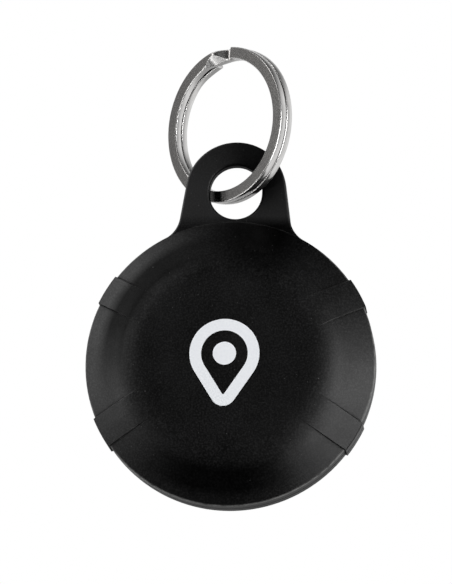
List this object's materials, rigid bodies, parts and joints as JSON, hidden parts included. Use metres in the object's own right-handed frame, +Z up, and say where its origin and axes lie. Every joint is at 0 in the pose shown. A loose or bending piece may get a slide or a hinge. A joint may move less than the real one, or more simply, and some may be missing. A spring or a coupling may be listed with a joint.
{
  "type": "key-ring tracker tag",
  "caption": "Round sealed black tracker tag with a flat key lug and grip pads, hung on a steel split ring.",
  "frame": {"origin": "centre of the flat rear face of the disc", "axes": "+Y out of the rear face, +Z up from the disc through the key lug, +X to the right seen from the front"},
  "size_m": [0.046, 0.0179, 0.0749],
  "materials": {
    "case": "soft-touch matt black",
    "ring_steel": "brushed nickel-plated spring steel",
    "seal_rubber": "matt silicone",
    "foam": "closed-cell foam",
    "carrier_plastic": "natural moulded nylon",
    "screw_steel": "zinc-plated",
    "cell_steel": "satin nickel-plated",
    "cell_gasket": "moulded",
    "cell_filling": "pressed powder",
    "contact": "gold-plated",
    "board": "green solder mask",
    "chip": "moulded epoxy",
    "shield": "tinned",
    "capacitor": "sintered",
    "resistor": "glazed",
    "antenna": "sintered",
    "sounder_brass": "plain sheet",
    "sounder_ceramic": "silvered",
    "switch": "moulded",
    "plunger": "moulded"
  },
  "bodies": {
    "case": {"front_shell": "case", "battery_carrier": "carrier_plastic", "carrier_screws": "screw_steel", "circuit_board": "board", "coin_cell_can": "cell_steel", "coin_cell_cap": "cell_steel", "coin_cell_gasket": "cell_gasket", "coin_cell_core": "cell_filling", "negative_spring": "contact", "positive_spring": "contact", "radio_chip": "chip", "radio_shield": "shield", "capacitors": "capacitor", "resistors": "resistor", "chip_antenna": "antenna", "flash_memory": "chip", "main_crystal": "shield", "clock_crystal": "shield", "inductor": "chip", "sounder_seat": "foam", "sounder_disc": "sounder_brass", "sounder_ceramic": "sounder_ceramic", "sounder_springs": "contact", "switch_body": "switch", "switch_dome": "contact", "press_pad": "seal_rubber"},
    "cover": {"rear_cover": "case", "seal_ring": "seal_rubber", "cell_foam_pad": "foam"},
    "ring": {"key_ring": "ring_steel"},
    "button": {"switch_plunger": "plunger"}
  },
  "joints": [
    {"name": "cover_twist", "type": "hinge", "parent": "case", "child": "cover", "pos_m": [0, -0.00639, 0], "axis": [0, 1, 0], "range_deg": [0, 24]},
    {"name": "ring_swing", "type": "hinge", "parent": "case", "child": "ring", "pos_m": [-0.00103, -0.00687, 0.0275], "axis": [0.7782, -0.628, 0], "range_deg": [-24, 115]},
    {"name": "button_press", "type": "slide", "parent": "case", "child": "button", "axis": [0, 1, 0], "range_m": [0, 0.00025]}
  ]
}
